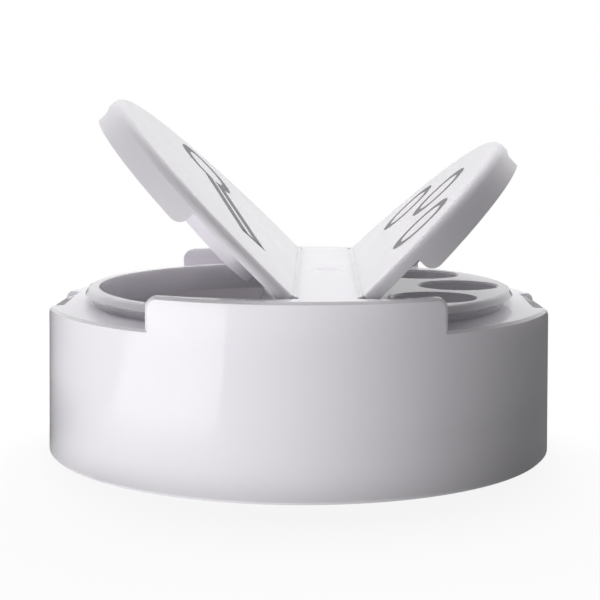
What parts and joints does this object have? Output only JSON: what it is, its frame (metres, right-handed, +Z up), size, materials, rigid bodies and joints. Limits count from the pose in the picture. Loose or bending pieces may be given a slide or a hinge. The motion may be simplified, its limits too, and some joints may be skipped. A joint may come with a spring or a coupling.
{
  "type": "flip top cap",
  "caption": "Round white screw cap for a wide-neck jar, with a pour flap and a shaker flap hinged on a raised band across its deck.",
  "frame": {"origin": "centre of the skirt's bottom rim, on the cap's axis", "axes": "+Z up along the cap's axis, -X to the pour side, +X to the shaker side, Y along both hinges"},
  "size_m": [0.066, 0.066, 0.0456],
  "materials": {
    "cap_plastic": "polished white polypropylene"
  },
  "bodies": {
    "cap_body": {"cap_body": "cap_plastic"},
    "pour_flap": {"pour_flap": "cap_plastic", "pour_hinge_web": "cap_plastic"},
    "shaker_flap": {"shaker_flap": "cap_plastic", "shaker_hinge_web": "cap_plastic"}
  },
  "joints": [
    {"name": "pour_flap_hinge", "type": "hinge", "parent": "cap_body", "child": "pour_flap", "pos_m": [-0.00025, 0, 0.02312], "axis": [0, 1, 0], "range_deg": [-44.6, 50.4], "deforming": ["pour_hinge_web"]},
    {"name": "shaker_flap_hinge", "type": "hinge", "parent": "cap_body", "child": "shaker_flap", "pos_m": [0.0075, 0, 0.02312], "axis": [0, -1, 0], "range_deg": [-43.8, 51.2], "deforming": ["shaker_hinge_web"]}
  ]
}
